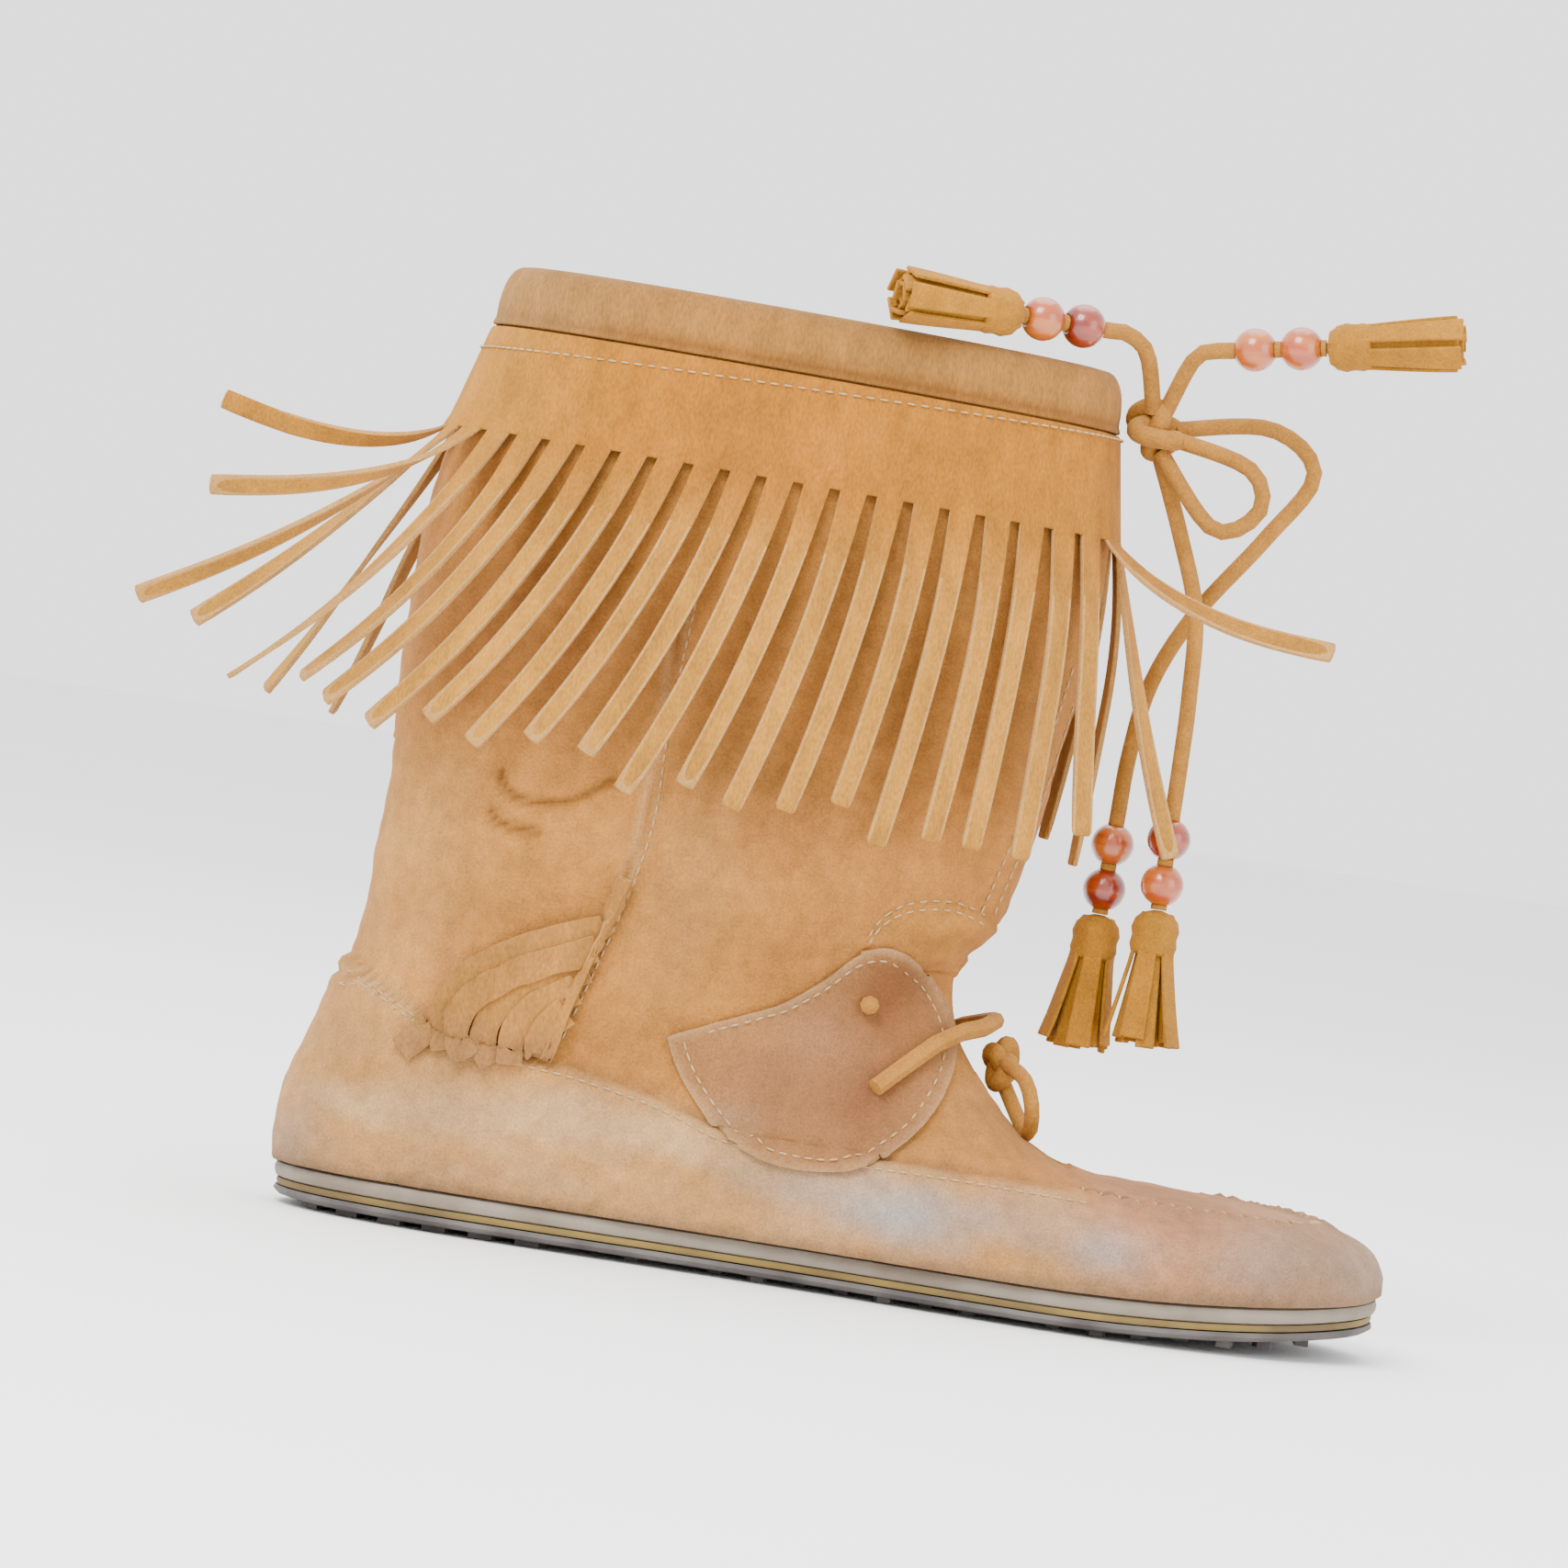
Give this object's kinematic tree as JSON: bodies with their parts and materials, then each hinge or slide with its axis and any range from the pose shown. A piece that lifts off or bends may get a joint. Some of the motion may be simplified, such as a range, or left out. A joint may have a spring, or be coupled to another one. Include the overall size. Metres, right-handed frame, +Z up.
{
  "type": "fringed moccasin ankle boot",
  "caption": "Right suede moccasin ankle boot with collar fringe, laced ankle flaps, beaded thong tassels and a thin rubber sole",
  "frame": {"origin": "on the floor under the heel, 45 mm in front of the heel's back, on the boot's middle line", "axes": "+X from the heel to the toe, +Y to the inner side of the foot, +Z up"},
  "size_m": [0.306, 0.0969, 0.24],
  "materials": {
    "outsole_rubber": "worn matt dark grey rubber",
    "midsole_foam": "scuffed grey-beige strip over a yellow-brown line",
    "insole_leather": "matt brown leather",
    "upper_suede": "tan suede nap, worn and scuffed",
    "rand_suede": "sandy suede with grey and white scuffs",
    "plug_suede": "dirty worn suede",
    "tongue_suede": "redder suede",
    "flap_leather": "smooth mauve-brown leather with cream stitches",
    "collar_suede": "worn grey-brown rolled suede",
    "fringe_suede": "tan suede strips with light cut edges",
    "thong_suede": "rolled tan suede thong",
    "bead_wood": "glossy pink-brown varnished wood"
  },
  "bodies": {
    "root": {"outsole": "outsole_rubber", "midsole": "midsole_foam", "insole": "insole_leather", "upper": "upper_suede", "tongue": "tongue_suede", "rand": "rand_suede", "vamp_plug": "plug_suede", "ankle_flap_lateral": "flap_leather", "ankle_flap_medial": "flap_leather", "instep_tab": "upper_suede", "side_fringe": "fringe_suede", "collar_band": "collar_suede", "fringe": "fringe_suede", "ankle_lace": "thong_suede", "lace_nub": "thong_suede", "ankle_knot": "thong_suede", "ankle_loop": "thong_suede", "collar_knot": "thong_suede", "collar_loop": "thong_suede", "rim_thong": "thong_suede", "rim_thong_tassel": "thong_suede", "rim_thong_bead_a": "bead_wood", "rim_thong_bead_b": "bead_wood", "front_thong": "thong_suede", "front_thong_tassel": "thong_suede", "front_thong_bead_a": "bead_wood", "front_thong_bead_b": "bead_wood", "long_thong": "thong_suede", "long_thong_tassel": "thong_suede", "long_thong_bead_a": "bead_wood", "long_thong_bead_b": "bead_wood", "short_thong": "thong_suede", "short_thong_tassel": "thong_suede", "short_thong_bead_a": "bead_wood", "short_thong_bead_b": "bead_wood"}
  },
  "joints": []
}
